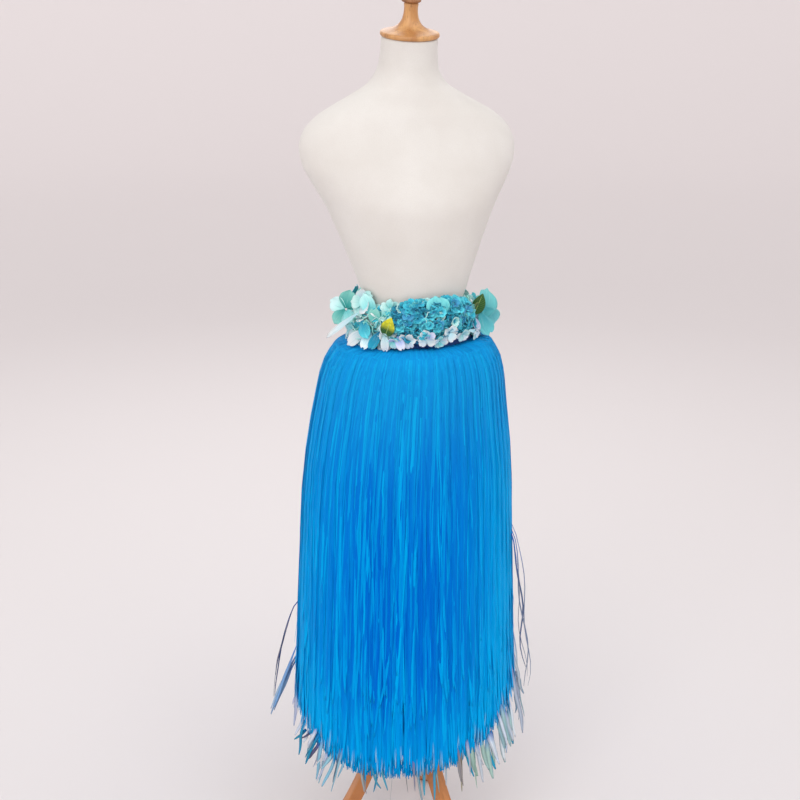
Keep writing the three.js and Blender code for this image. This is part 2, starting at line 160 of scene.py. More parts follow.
class Value:
    """A number that varies over a surface. An expression on values adds the Math nodes that work it out."""

    def __init__(self, finish, socket):
        self.finish, self.socket = finish, socket

    def math(self, operation, *terms):
        """The result of a Math node's operation on terms."""
        made = self.finish.node("ShaderNodeMath", {"operation": operation}, dict(enumerate(terms)))
        return Value(self.finish, made.outputs[0])

    def sine(self):
        """Sine of the value in radians."""
        return self.math("SINE", self)

    def between(self, low, high):
        """Smooth step from 0 at low to 1 at high, which may be the smaller of the two."""
        spread = self.finish.node(
            "ShaderNodeMapRange", {"interpolation_type": "SMOOTHSTEP"},
            {"Value": self, "From Min": low, "From Max": high},
        )
        return Value(self.finish, spread.outputs["Result"])


# Each operator and its reflected form, so that a number may stand on either side
for sign, operation in [("add", "ADD"), ("sub", "SUBTRACT"), ("mul", "MULTIPLY"), ("truediv", "DIVIDE"),
                        ("pow", "POWER")]:
    setattr(Value, f"__{sign}__", lambda left, right, kind=operation: left.math(kind, left, right))
    setattr(Value, f"__r{sign}__", lambda right, left, kind=operation: right.math(kind, left, right))


class Finish:
    """A material's nodes, ending in one Principled shader whose even values are set on its own sockets."""

    def __init__(self, name, **even):
        self.material = bpy.data.materials.new(name)
        self.material.use_nodes = True
        self.tree = self.material.node_tree
        self.tree.nodes.clear()
        self.shader = self.node("ShaderNodeBsdfPrincipled")
        output = self.node("ShaderNodeOutputMaterial")
        self.tree.links.new(self.shader.outputs["BSDF"], output.inputs["Surface"])
        for socket, value in even.items():
            self.feed(self.shader.inputs[socket.replace("_", " ")], value)

    def feed(self, slot, term):
        """Links a value or a socket to a node's socket, or sets the socket to a plain number or colour."""
        if isinstance(term, Value):
            term = term.socket
        if isinstance(term, bpy.types.NodeSocket):
            self.tree.links.new(term, slot)
        elif slot.type == "RGBA":
            slot.default_value = (*term[:3], 1)
        else:
            slot.default_value = term

    def node(self, kind, settings=None, inputs=None):
        """A node of any kind. Its settings, a ramp's stops among them, are set first, and then the values or
        links of its sockets, by name or place."""
        made = self.tree.nodes.new(kind)
        for name, value in (settings or {}).items():
            if name == "stops":
                elements = made.color_ramp.elements
                while len(elements) < len(value):
                    elements.new(0.5)
                for element, (place, colour) in zip(elements, value):
                    element.position, element.color = place, (*linear(colour), 1)
            else:
                setattr(made, name, value)
        for name, value in (inputs or {}).items():
            self.feed(made.inputs[name], value)
        return made

    def place(self):
        """Object coordinates."""
        return self.node("ShaderNodeTexCoord").outputs["Object"]

    def along(self):
        """The piece's own UV map."""
        return self.node("ShaderNodeUVMap", {"uv_map": "along"}).outputs["UV"]

    def scaled(self, vector, factors):
        """A vector with each of its parts times its own factor."""
        return self.node("ShaderNodeMapping", {}, {"Vector": vector, "Scale": factors}).outputs["Vector"]

    def parts(self, vector):
        """A vector's three parts as values."""
        split = self.node("ShaderNodeSeparateXYZ", {}, {"Vector": vector})
        return [Value(self, out) for out in split.outputs]

    def noise(self, vector, scale, detail=2.0, roughness=0.5, distortion=0.0):
        """Soft noise from 0 to 1 with scale waves to a unit of vector."""
        inputs = dict(Vector=vector, Scale=scale, Detail=detail, Roughness=roughness, Distortion=distortion)
        return Value(self, self.node("ShaderNodeTexNoise", {}, inputs).outputs[0])

    def ramp(self, factor, stops):
        """Colour (0 to 255) that goes straight from stop to stop as factor grows."""
        return self.node("ShaderNodeValToRGB", {"stops": stops}, {"Fac": factor}).outputs["Color"]

    def mix(self, factor, first, second):
        """The first colour, mixed with the second (0 to 255) by factor."""
        inputs = {0: factor, 6: first, 7: linear(second)}
        return self.node("ShaderNodeMix", {"data_type": "RGBA"}, inputs).outputs[2]

    def dye(self):
        """The colour that the piece's points hold."""
        return self.node("ShaderNodeAttribute", {"attribute_name": "dye"}).outputs["Color"]

    def finish(self, colour, roughness, height=None, strength=0.3, distance=MM):
        """Links what varies to the shader; height goes through a bump to its normal."""
        self.feed(self.shader.inputs["Base Color"], colour)
        self.feed(self.shader.inputs["Roughness"], roughness)
        if height is not None:
            bump = self.node("ShaderNodeBump", {}, dict(Height=height, Strength=strength, Distance=distance))
            self.feed(self.shader.inputs["Normal"], bump.outputs["Normal"])
        return self.material


def form_cloth():
    """Off-white jersey stretched over the form: fine crossed ribs, faint mottling."""
    f = Finish("form_jersey", Specular_IOR_Level=0.25, Sheen_Weight=0.15, Sheen_Roughness=0.5)
    place = f.place()
    mottle, fluff = f.noise(place, 14, 3), f.noise(place, 900, 2)
    across, up, _ = f.parts(f.along())
    ribs = (across * (TAU / 0.0016)).sine() * 0.5 + (up * (TAU / 0.0013)).sine() * 0.5
    colour = f.ramp(mottle, [(0.3, (224, 221, 215)), (0.7, (231, 229, 224))])
    colour = f.mix(fluff.between(0.35, 0.75) * 0.3, colour, (214, 210, 204))
    return f.finish(colour, 0.8 + mottle * 0.12, ribs * 0.4 + fluff * 0.8, 0.25, 0.4 * MM)


def wood(name, light, dark, stretch, coordinates="place"):
    """Lacquered wood: long grain from noise stretched along the piece, with darker pores."""
    f = Finish(name, Specular_IOR_Level=0.5, Coat_Weight=0.35, Coat_Roughness=0.22)
    vector = f.place() if coordinates == "place" else f.along()
    grain = f.noise(f.scaled(vector, stretch), 42, 5, 0.6, 0.7)
    pores = f.noise(f.scaled(vector, [s * 6 for s in stretch]), 60, 2)
    middle = [(a + b) / 2 for a, b in zip(light, dark)]
    colour = f.ramp(grain, [(0.28, dark), (0.5, middle), (0.7, light)])
    colour = f.mix(pores.between(0.58, 0.72) * 0.4, colour, [c * 0.6 for c in dark])
    relief = grain * 0.5 - pores.between(0.55, 0.7) * 0.5
    return f.finish(colour, 0.34 + grain * 0.22, relief, 0.25, 0.3 * MM)


def strand_plastic():
    """Dyed plastic raffia: its points' colour (dye with painted light and shade), lengthwise streaks, fine
    ribs that catch the light.
    """
    f = Finish("raffia_blue", Specular_IOR_Level=0.04, Specular_Tint=linear((60, 190, 255)))
    across, *_ = f.parts(f.along())
    streaks = f.noise(f.scaled(f.along(), (5, 9, 1)), 1.0, 3)
    ribs = (across * (TAU * 3)).sine()
    colour = f.mix(streaks.between(0.48, 0.75) * 0.2, f.dye(), (8, 190, 255))
    colour = f.mix(streaks.between(0.52, 0.3) * 0.25, colour, (0, 96, 216))
    return f.finish(colour, 0.42 + streaks * 0.2, ribs * 0.5 + streaks * 0.6, 0.3, 0.2 * MM)


def ribbon_cloth():
    """Deep blue grosgrain: upright ribs across the ribbon, faint mottling."""
    f = Finish("ribbon_grosgrain", Specular_IOR_Level=0.3, Sheen_Weight=0.25)
    round_way, *_ = f.parts(f.along())
    ribs = (round_way * (TAU / 0.0018)).sine()
    mottle = f.noise(f.place(), 60, 2)
    colour = f.ramp(mottle, [(0.3, (8, 52, 118)), (0.7, (18, 84, 158))])
    return f.finish(colour, 0.6 + mottle * 0.2, ribs * 0.7 + mottle * 0.3, 0.5, 0.5 * MM)


def petal_cloth():
    """Thin polyester petal: its points' colour (paler at rim and edges, partly painted highlight), veins
    that fan from its base, and a fine weave.
    """
    f = Finish("petal_satin", Specular_IOR_Level=0.3, Sheen_Weight=0.3, Sheen_Roughness=0.35)
    fan = f.noise(f.scaled(f.along(), (9, 1.6, 1)), 1.0, 3)
    weave = f.noise(f.place(), 1400, 1)
    colour = f.mix(fan.between(0.52, 0.75) * 0.16, f.dye(), (226, 250, 250))
    colour = f.mix(fan.between(0.46, 0.28) * 0.22, colour, (24, 118, 146))
    return f.finish(colour, 0.55 + fan * 0.25, fan * 0.8 + weave * 0.2, 0.45, 0.5 * MM)


def leaf_cloth():
    """Printed green leaf: the leaf's own dye, a pale midrib and side veins."""
    f = Finish("leaf_satin", Specular_IOR_Level=0.35, Sheen_Weight=0.15)
    across, length, _ = f.parts(f.along())
    middle = across.math("ABSOLUTE", across - 0.5)
    rib = middle.between(0.05, 0.015)
    veins = ((length * 9 - middle * 5) * TAU).sine().between(0.8, 1.0)
    mottle = f.noise(f.place(), 180, 2)
    colour = f.mix(mottle.between(0.4, 0.7) * 0.35, f.dye(), (30, 80, 34))
    colour = f.mix((rib + veins * 0.4) * 0.5, colour, (176, 204, 120))
    return f.finish(colour, 0.5 + mottle * 0.2, rib + veins * 0.5, 0.4, 0.5 * MM)


# ---------------- meshes


def piece(name, points, faces, material, slot, dye=None, along=None, nodes=(), thickness=None):
    """A piece of the object from its points and groups of faces; dye and along are each point's colour
    and UV. A closed piece's faces turn outward: where they enclose a negative volume, all are reversed."""
    points = np.asarray(points, float).reshape(-1, 3)
    if thickness is None:
        volume = sum(
            np.einsum("ij,ij->", points[group[:, 0]], np.cross(points[group[:, k]], points[group[:, k + 1]]))
            for group in faces for k in range(1, group.shape[1] - 1)
        )
        if volume < 0:
            faces = [group[:, ::-1] for group in faces]
    mesh = bpy.data.meshes.new(name)
    mesh.from_pydata(points.tolist(), [], [face for group in faces for face in group.tolist()])
    mesh.shade_smooth()
    if along is not None:
        corners = np.concatenate([group.ravel() for group in faces])
        layer = mesh.uv_layers.new(name="along")
        layer.uv.foreach_set("vector", along.reshape(-1, 2)[corners].astype(np.float32).ravel())
    if dye is not None:
        colours = np.ones((len(points), 4), np.float32)
        colours[:, :3] = dye.reshape(-1, 3)
        mesh.attributes.new("dye", "FLOAT_COLOR", "POINT").data.foreach_set("color", colours.ravel())
    mesh.materials.append(material)
    made = bpy.data.objects.new(name, mesh)
    bpy.context.scene.collection.objects.link(made)
    if thickness is not None:
        solidify = made.modifiers.new("cloth_thickness", "SOLIDIFY")
        solidify.thickness, solidify.offset = thickness, 0
    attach(made, BODY)
    if nodes:
        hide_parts(*nodes)
    return made


def numbered(points):
    """Each point's number, in the points' own grid."""
    return np.arange(points[..., 0].size).reshape(points.shape[:-1])


def quads(number, beside):
    """Quads between numbered points, in rows on the last axis but one, and the points beside them."""
    corners = [number[..., :-1, :], beside[..., :-1, :], beside[..., 1:, :], number[..., 1:, :]]
    return np.stack(corners, -1).reshape(-1, 4)


def uv(across, down):
    """UV map from two arrays of any shapes that match."""
    return np.stack(np.broadcast_arrays(across, down), -1)


def capped_uv(across, down):
    """The same for a capped skin, whose two middle points come last."""
    return np.pad(uv(across, down).reshape(-1, 2), ((0, 2), (0, 0)))


def sheets(points):
    """Faces of open sheets of points[sheet, row, column]."""
    number = numbered(points)
    return [quads(number[..., :-1], number[..., 1:])]


def tubes(points):
    """Closed tubes from points[tube, ring, corner]: quads between rings and one flat face on each end."""
    number = numbered(points)
    return points, [quads(number, np.roll(number, -1, axis=2)), number[:, 0, ::-1], number[:, -1]]


def capped_skin(rings):
    """Closed surface from rings[row, turn]: quads between rows and a fan to the middle of each end row."""
    number = numbered(rings)
    beside = np.roll(number, -1, axis=1)
    top, bottom = np.full((2, rings.shape[1]), [[number.size], [number.size + 1]])
    first = np.stack([top, beside[0], number[0]], -1)
    last = np.stack([bottom, number[-1], beside[-1]], -1)
    points = np.concatenate([rings.reshape(-1, 3), [rings[0].mean(0)], [rings[-1].mean(0)]])
    return points, [quads(number, beside), first, last]


def blend(first, second, share):
    """Value at a share of the way from first to second."""
    return first + (second - first) * share


def smooth(knots, values, at):
    """Cubic curve through values at rising knots; the slope at a knot is the mean of its two sides, each
    weighted by the other's length."""
    step = np.diff(knots)
    rise = np.diff(values, axis=0) / step[:, None]
    inner = (rise[:-1] * step[1:, None] + rise[1:] * step[:-1, None]) / (step[1:] + step[:-1])[:, None]
    slope = np.concatenate([rise[:1], inner, rise[-1:]])
    i = np.clip(np.searchsorted(knots, at, "right") - 1, 0, len(knots) - 2)
    t = ((at - knots[i]) / step[i])[..., None]
    h = step[i][..., None]
    return (
        (2 * t**3 - 3 * t**2 + 1) * values[i] + (t**3 - 2 * t**2 + t) * h * slope[i]
        + (3 * t**2 - 2 * t**3) * values[i + 1] + (t**3 - t**2) * h * slope[i + 1]
    )


def unit(vectors):
    """Vectors divided by their lengths."""
    return vectors / np.maximum(np.linalg.norm(vectors, axis=-1, keepdims=True), 1e-12)


def finer(rows, count):
    """The smooth curve through rows, at count places evenly spaced along its first two columns."""
    lengths = np.concatenate([[0], np.cumsum(np.hypot(*np.diff(rows[:, :2], axis=0).T))])
    return smooth(lengths, rows, np.linspace(0, lengths[-1], count))


# The form's profile, from the neck down, in metres: height, half width, half depth, centre, lean
FORM_PROFILE = finer(FORM_SECTIONS, 220)
FORM_PROFILE[:, :4] *= MM
FORM_PROFILE[:, 4] = np.radians(FORM_PROFILE[:, 4])
# The skirt's profile at evenly spaced heights, in metres: height, half width, half depth, centre, ridge
skirt_knots = SKIRT_SECTIONS[::-1]
skirt_heights = np.linspace(skirt_knots[0, 0], skirt_knots[-1, 0], 500)
SKIRT_PROFILE = smooth(skirt_knots[:, 0], skirt_knots, skirt_heights) * MM


def profile_at(profile, heights):
    """The columns of a profile at any heights, straight between its close rows."""
    rows = profile if profile[0, 0] < profile[-1, 0] else profile[::-1]
    return [np.interp(heights, rows[:, 0], rows[:, column]) for column in range(1, profile.shape[1])]


def on_section(section, angle, height, out):
    """Points at an angle round level ellipses (half width, half depth, centre), moved level outward."""
    wide, deep, centre = section[:3]
    x, y = (wide + out) * np.sin(angle), centre - (deep + out) * np.cos(angle)
    return AXIS + np.stack(np.broadcast_arrays(x, y, height), -1)


def on_form(angle, height, out):
    """Points of the form at an angle round it and a height, moved level outward."""
    return on_section(profile_at(FORM_PROFILE, height), angle, height, out)


def placed(points):
    """Points beside the form, given as (degrees round, height, distance out)."""
    degrees, height, out = np.array(points, float).T
    return on_form(np.radians(degrees), height * MM, out * MM)


def face_of(azimuth, tilt):
    """Unit vectors that look to an angle round, raised by tilt."""
    return np.stack([np.sin(azimuth) * np.cos(tilt), -np.cos(azimuth) * np.cos(tilt), np.sin(tilt)], -1)


def dress_form():
    """Form: for each row of the profile an ellipse (half width sin a, centre - half depth cos a), tipped
    forward by its lean."""
    turns, cloth_radius = 128, 0.1
    angle = np.linspace(0, TAU, turns, endpoint=False)
    height, wide, deep, centre, lean = (FORM_PROFILE[:, k, None] for k in range(5))
    depth = -deep * np.cos(angle)
    x, y, z = wide * np.sin(angle), centre + depth * np.cos(lean), height + depth * np.sin(lean)
    points, faces = capped_skin(AXIS + np.stack([x, y, z], -1))
    along = capped_uv(cloth_radius * angle, height)
    piece("form_cover", points, faces, form_cloth(), "form_cover", along=along, nodes=["dress_form"])


def waist_ribbon():
    """Ribbon: a thin rounded section carried round the form, its face a wall's thickness out and waved a
    little where it is gathered."""
    turns, gathers, gather_height, girth, slant = 240, 61, 0.25 * MM, 0.55, 0.061
    angle = np.linspace(0, TAU, turns, endpoint=False)[:, None]
    share = np.array([0, 0, 0.03, 0.25, 0.5, 0.75, 0.97, 1, 1, 0.97, 0.75, 0.5, 0.25, 0.03])
    out = np.array([0.35, 0.75, 1, 1, 1, 1, 1, 0.75, 0.35, 0, 0, 0, 0, 0])
    up = (RIBBON_TOP - RIBBON_BOTTOM) * share
    gather = gather_height * np.sin(gathers * angle) * (out > 0.9)
    rings = on_form(angle, (RIBBON_BOTTOM + up)[None, :], HUG + RIBBON_WALL * out + gather)
    number = numbered(rings)
    number = np.concatenate([number, number[:1]])
    faces = [quads(number, np.roll(number, -1, 1))]
    along = uv(angle / TAU * girth, up)
    made = piece("waist_ribbon", rings, faces, ribbon_cloth(), "band", along=along, nodes=["waistband"])


# ---------------- turned wood

# Turned profiles: radius and height
CAP_PROFILE = [
    (0, 0), (30, 0), (43.5, 0), (46.6, 1.2), (47.6, 4), (46.6, 6.8), (43.5, 8), (37, 9.6), (27, 13),
    (19, 18.5), (14, 26), (11.6, 35), (10.9, 44), (10.8, 51.5), (10, 52), (0, 52),
]
KNOB_PROFILE = [
    (0, 0), (12, 0), (15, 1), (15.6, 3), (14.6, 5), (11, 7), (9.6, 9), (10.2, 11), (14, 14.2),
    (17.4, 19.4), (18.9, 25), (18.8, 30), (17, 36), (12.6, 41.4), (7, 45), (2, 46), (0, 46),
]
CAP_GAP = 0.3 * MM  # under the cap and under the knob
# Legs: where one leaves the hub, what it bends towards and where it stands, as distance from the axis and
# height, on its outer and on its inner side
LEG_OUTER = np.array([(31.3, 394), (52, 165), (178, 0)]) * MM
LEG_INNER = np.array([(31.3, 346), (33, 145), (152, 0)]) * MM
LEG_HALF_WIDTH, LEG_CORNER, LEG_LENGTH = 12.5 * MM, 3 * MM, 0.42
LEG_DEGREES = (29, 149, 269)


def turned(name, profile, foot, lean, material, slot, node):
    """Turned piece: the smooth curve through a profile of (radius, height) round an axis that starts at
    foot and leans forward."""
    least_radius, rows, turns = 0.2 * MM, 90, 96
    fine = finer(np.array(profile, float) * MM, rows)
    radius, up = np.maximum(fine[:, :1], least_radius), fine[:, 1:]
    angle = np.linspace(0, TAU, turns, endpoint=False)
    depth, cos, sin = radius * np.cos(angle), math.cos(lean), math.sin(lean)
    rings = np.stack([radius * np.sin(angle), depth * cos - up * sin, depth * sin + up * cos], -1)
    piece(name, *capped_skin(foot + rings), material, slot, nodes=[node])


def neck_top():
    """The cap that closes the neck and its finial, on the neck's tipped top."""
    height, _, _, centre, lean = FORM_PROFILE[0]
    axis = np.array([0, -math.sin(lean), math.cos(lean)])
    foot = AXIS + [0, centre, height] + axis * CAP_GAP
    cap_wood = wood("turned_beech", (226, 174, 112), (176, 116, 62), (1, 1, 0.16))
    turned("cap_turning", CAP_PROFILE, foot, lean, cap_wood, "turned_wood", "neck_cap")
    knob_foot = foot + axis * (CAP_PROFILE[-1][1] * MM + CAP_GAP)
    knob_wood = wood("knob_beech", (176, 118, 68), (112, 68, 36), (1, 1, 0.2))
    turned("knob_turning", KNOB_PROFILE, knob_foot, lean, knob_wood, "finial_wood", "finial")


def leg_curve(points, share):
    """Quadratic curve from its first point to its last, drawn towards the one between."""
    start, middle, end = points
    return (1 - share) ** 2 * start + 2 * share * (1 - share) * middle + share**2 * end


def legs():
    """Three curved legs: a rectangle with rounded edges carried between the leg's outer and inner curves."""
    share = np.linspace(0, 1, 41)[:, None]
    outer, inner = leg_curve(LEG_OUTER, share), leg_curve(LEG_INNER, share)
    turn = np.radians(np.concatenate([np.linspace(q, q + 90, 5) for q in (0, 90, 180, 270)]))
    side = np.array([1, -1, -1, 1]).repeat(5) * (LEG_HALF_WIDTH - LEG_CORNER) + LEG_CORNER * np.cos(turn)
    edge = LEG_CORNER / np.hypot(*(outer - inner).T)[:, None]
    across = np.array([1, 1, -1, -1]).repeat(5) * (0.5 - edge) + edge * np.sin(turn) + 0.5
    flat = blend(inner[:, None, :], outer[:, None, :], across[:, :, None])
    material = wood("leg_beech", (222, 150, 84), (172, 102, 48), (1, 0.1, 1), "along")
    for number, degrees in enumerate(LEG_DEGREES, 1):
        a = math.radians(degrees)
        ahead, aside = np.array([math.sin(a), -math.cos(a)]), np.array([math.cos(a), math.sin(a)])
        level = flat[:, :, :1] * ahead + side[None, :, None] * aside
        points, faces = capped_skin(AXIS + np.concatenate([level, flat[:, :, 1:]], -1))
        along = capped_uv(side, share * LEG_LENGTH)
        name = f"leg_{number}"
        piece(f"bent_{name}", points, faces, material, "turned_wood", along=along, nodes=[name])


def stand():
    """Base disc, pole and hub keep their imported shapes, in the stand's wood."""
    material = wood("stand_beech", (218, 160, 98), (164, 106, 56), (1, 1, 0.12))
    for name in ("base_disc", "pole", "hub"):
        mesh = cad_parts[name]
        mesh.data.materials.clear()
        mesh.data.materials.append(material)


# ---------------- strands

# Fold lines: one in eight lies on a seam between hanks and stays in its even place, and each of the others
# is moved up to 0.18 of a fold's width. Their heights are 0.5 to 1.5, out and in by turns.
fold_lines = np.arange(FOLDS)
on_seam = fold_lines % 8 == 0
FOLD_ANGLES = (fold_lines + np.where(on_seam, 0, 0.36 * (uneven(fold_lines) - 0.5))) * TAU / FOLDS
FOLD_RISES = np.where(fold_lines % 2 == 0, 1, -1) * (0.5 + uneven(fold_lines))


def fold_relief(angle):
    """How far the folds stand out at an angle, as a share of the ridge: crests above 0, valleys below."""
    return np.interp(angle, FOLD_ANGLES, FOLD_RISES, period=TAU)


def nearest_crest(angle):
    """Angle of the fold crest nearest to an angle."""
    crests = FOLD_ANGLES[::2]
    gap = (angle[:, None] - crests[None, :] + math.pi) % TAU - math.pi
    return angle - gap[np.arange(len(angle)), np.abs(gap).argmin(1)]


def hem_height(angle):
    """Height of the longest tips: lowest in front and behind, higher at the sides by a power of the sine of
    the angle from the skirt's middle."""
    return HEM_FRONT + HEM_SIDE_RISE * np.abs(np.sin(angle - SKIRT_TURN)) ** HEM_POWER


def wave(size_and_number, t, phase):
    """Sine of a size, with a number of waves as t goes from 0 to 1."""
    size, number = size_and_number
    return size * np.sin(TAU * number * t + phase)


def strand_tubes(section, angle, height, out, width, crown, twist):
    """Strands on their centre lines [strand, ring]: a low triangle with its flat side in and its crown out,
    as wide as it can be along the way round the skirt, then turned by twist about the line. Returns their
    points and their mean length."""
    line = on_section(section, angle, height, out)
    across = np.stack([section[0] * np.cos(angle), section[1] * np.sin(angle), 0 * angle], -1)
    way = unit(np.gradient(line, axis=1))
    aside = unit(way * np.einsum("...k,...k->...", across, way)[..., None] - across)
    outward = np.cross(aside, way)
    cos, sin = np.cos(twist)[..., None], np.sin(twist)[..., None]
    face, edge = outward * cos + aside * sin, aside * cos - outward * sin
    half = edge * width[..., None] / 2
    points = np.stack([line - half, line + face * crown[..., None], line + half], 2)
    return points, float(np.linalg.norm(np.diff(line, axis=1), axis=-1).sum(1).mean())


def strand_piece(name, points, dye, height, material, slot, nodes, rng):
    """Strands as one piece, with UV across and down each. Their two long edges are sharp, so that light runs
    evenly over the crown between them."""
    along = uv(np.array([0, 0.5, 1.0]), (height + rng.uniform(0, 20, (len(height), 1)))[:, :, None])
    dye = np.broadcast_to(dye, points.shape)
    made = piece(name, *tubes(points), material, slot, dye=dye, along=along, nodes=nodes)
    mesh = made.data
    corners = np.empty(len(mesh.edges) * 2, np.int32)
    mesh.edges.foreach_get("vertices", corners)
    first, second = corners.reshape(-1, 2).T
    long_edge = (np.abs(first - second) == 3) & (first % 3 != 1)
    mesh.attributes.new("sharp_edge", "BOOLEAN", "EDGE").data.foreach_set("value", long_edge)
    return made


def strand_colour_and_painted_light(t, angle, crossing, short, pale_share, rng):
    """Colour down each strand: a tone of its own; painted light that makes it lighter at the skirt's sides,
    most on its right; lighter towards the hem; and a painted cyan highlight where it bends over the hips. A
    share of the long strands have a pale tip."""
    count = len(angle)
    tone = np.clip(rng.beta(6, 6, (count, 1, 1)) + 0.3 * crossing[:, None, None], 0, 1)
    deep, mid, light = linear(BLUE_DEEP), linear(BLUE_MID), linear(BLUE_LIGHT)
    dye = np.where(tone < 0.5, blend(deep, mid, 2 * tone), blend(mid, light, 2 * tone - 1))
    # Painted light: the strands grow lighter towards the skirt's two sides, less near the waist, most on its
    # right and lower down; they also grow lighter towards the hem.
    to_right = np.sin(angle - SKIRT_TURN)
    side = np.abs(to_right) ** 2.5 * np.clip(t / 0.35, 0.35, 1)
    near_hem = np.clip((t - 0.74) / 0.26, 0, 1) ** 1.5
    lift = 0.75 * near_hem + (0.8 + 0.5 * np.clip(to_right, 0, 1) * t) * side
    dye = blend(dye, light, np.clip(lift, 0, 0.95)[..., None])
    # Painted highlight: pale cyan where the strands bend over the hips and face the light from above, less
    # at the sides.
    hip_highlight = np.exp(-((t / 0.24) ** 2)) * (1 - 0.4 * side)
    dye = blend(dye, linear(BLUE_HIP_HIGHLIGHT), (0.62 * hip_highlight)[..., None])
    pale = (rng.random((count, 1)) < pale_share * ~short[:, None]) * np.clip((t - 0.965) / 0.035, 0, 1)
    return blend(dye, linear(TIP_PALE), (0.8 * pale)[..., None])


def strands(name, span, layer, rng, material, nodes=()):
    """Strands that hang from the waist between two angles.

    A strand's point at share t of its length is on the skirt's section at that height, moved out by the
    folds and in by its own depth; its angle drifts towards a crest and to one side as it falls, with two
    waves on it, and its tip swings out.
    """
    (first, last), (count, depths, crossing_share, short_share, pale_share) = span, layer
    t = STRAND_RINGS[None, :]
    top = first + (last - first) * (np.arange(count) + rng.random(count)) / count
    crossing = rng.random(count) < crossing_share
    drift = rng.normal(0, DRIFT, count)
    drift = np.radians(drift + crossing * rng.choice([-1, 1], count) * rng.uniform(*CROSSING_DRIFT, count))
    pull = rng.uniform(0, CREST_PULL, count)
    depth = rng.uniform(*depths, count)[:, None] * MM
    depth = np.where(crossing[:, None], depth * CROSSING_DEPTH, depth)
    tip_angle = top + drift + pull * (nearest_crest(top + drift) - top - drift)
    short = rng.random(count) < short_share
    ragged = RAGGED * MM * rng.random(count) ** 1.5 + short * rng.uniform(*SHORT_BY, count) * MM
    start = (STRAND_TOP - TOP_SPREAD * rng.random(count)[:, None]) * MM
    height = blend(start, (hem_height(tip_angle) + ragged)[:, None], t)

    on_ribbon = np.clip(1 - t / ON_RIBBON, 0, 1) ** 2
    *hanging, ridge = profile_at(SKIRT_PROFILE, height)
    tied, over = profile_at(FORM_PROFILE, height), HUG + RIBBON_WALL + MM
    section = [blend(a, b + more, on_ribbon) for a, b, more in zip(hanging, tied, (over, over, 0))]
    phase = rng.uniform(0, TAU, (count, 4, 1))
    grown = np.clip(t * 4, 0, 1) * rng.uniform(0.4, 1, (count, 1))
    sway = (wave(LONG_SWAY, t, phase[:, 0]) + wave(SHORT_SWAY, t, phase[:, 1])) * MM * grown
    angle = top[:, None] + (tip_angle - top)[:, None] * t**1.4 + sway / section[0]
    flick = np.clip((t - FLICK_FROM) / (1 - FLICK_FROM), 0, 1) ** 1.7
    splay = np.abs(rng.normal(0, SPLAY, (count, 1)))
    out = FOLD_FOLLOWED * ridge * fold_relief(angle) * (1 - on_ribbon) - depth * np.clip(t * 30, 0, 1)
    out = out + MM * splay * flick + MM * wave(BILLOW, t, phase[:, 2]) * grown
    angle = angle + np.radians(rng.normal(0, DRIFT, (count, 1))) * flick

    at_tip, at_waist = np.clip((t - 0.95) / 0.05, 0, 1) ** 1.2, np.clip(1 - t / 0.13, 0, 1)
    width = STRAND_WIDTH * rng.uniform(0.75, 1.2, (count, 1)) * (1 - 0.7 * at_tip) * (1 - 0.6 * at_waist)
    twist = np.radians(rng.normal(0, 5, (count, 1)) + wave(TWIST, t, phase[:, 3]))
    crown = STRAND_CROWN * width / STRAND_WIDTH
    points, length = strand_tubes(section, angle, height, out, width, crown, twist)
    dye = strand_colour_and_painted_light(t, angle, crossing, short, pale_share, rng)[:, :, None, :]
    made = strand_piece(name, points, dye, height, material, "strands", nodes, rng)


def stray_strands(side, node, rng, material):
    """Loose strands at one side: from its start on the skirt each moves outward as its reach times t to the
    power of its bend, drifts sideways as t^1.5, bows a little, and narrows to a pale or dark tip."""
    rows = LOOSE_STRANDS[side]
    each = np.repeat(np.array([row[:13] for row in rows], float), [row[2] for row in rows], axis=0)
    first, last, _, start_low, start_high, tip_low, tip_high, near, far, drift, bend, sway, wide = each.T
    count = len(each)
    even = rng.random((count, 5))
    t = np.linspace(0, 1, 14)[None, :]
    ranges = [(start_low, start_high), (tip_low, tip_high), (first, last), (near, far)]
    start, end, turn, reach = (blend(*pair, share)[:, None] for pair, share in zip(ranges, even.T))
    height = blend(start * MM, end * MM, t)
    *section, ridge = profile_at(SKIRT_PROFILE, height)
    angle = np.radians(turn) + np.radians(drift + rng.normal(0, 2.2, count))[:, None] * t**1.5
    phase = rng.uniform(0, TAU, (count, 1))
    bow = rng.normal(0, 2.5, (count, 1)) * MM * np.sin(np.pi * t)
    bow = bow + wave((sway[:, None] * MM, 1.6), t, phase) * t
    out = FOLD_FOLLOWED * ridge * fold_relief(angle) - 1.5 * MM * (1 - t) ** 6
    out = out + reach * MM * t ** bend[:, None] + bow
    width = wide[:, None] * MM * rng.uniform(0.7, 1.15, (count, 1)) * (1 - 0.7 * t**5)
    forward = -55 if side == "left" else 55
    twist = np.radians(rng.normal(0, 14, (count, 1)) + (forward + 20 * np.sin(phase)) * np.clip(t * 2, 0, 1))
    points, length = strand_tubes(section, angle, height, out, width, 0.13 * width, twist)

    tips = linear(np.concatenate([np.array(row[13])[rng.integers(0, len(row[13]), row[2])] for row in rows]))
    fade = np.clip(0.15 + t * 2.4, 0, 1)[..., None] * (0.75 + 0.25 * even[:, 4])[:, None, None]
    dye = blend(linear(BLUE_MID), tips[:, None], fade)[:, :, None, :]
    # Painted shade: each loose strand's two long edges are darker.
    dye = dye * np.array([EDGE_PAINTED_SHADE, 1.0, EDGE_PAINTED_SHADE])[:, None]
    made = strand_piece(f"stray_strands_{side}", points, dye, height, material, "stray_strands", [node], rng)


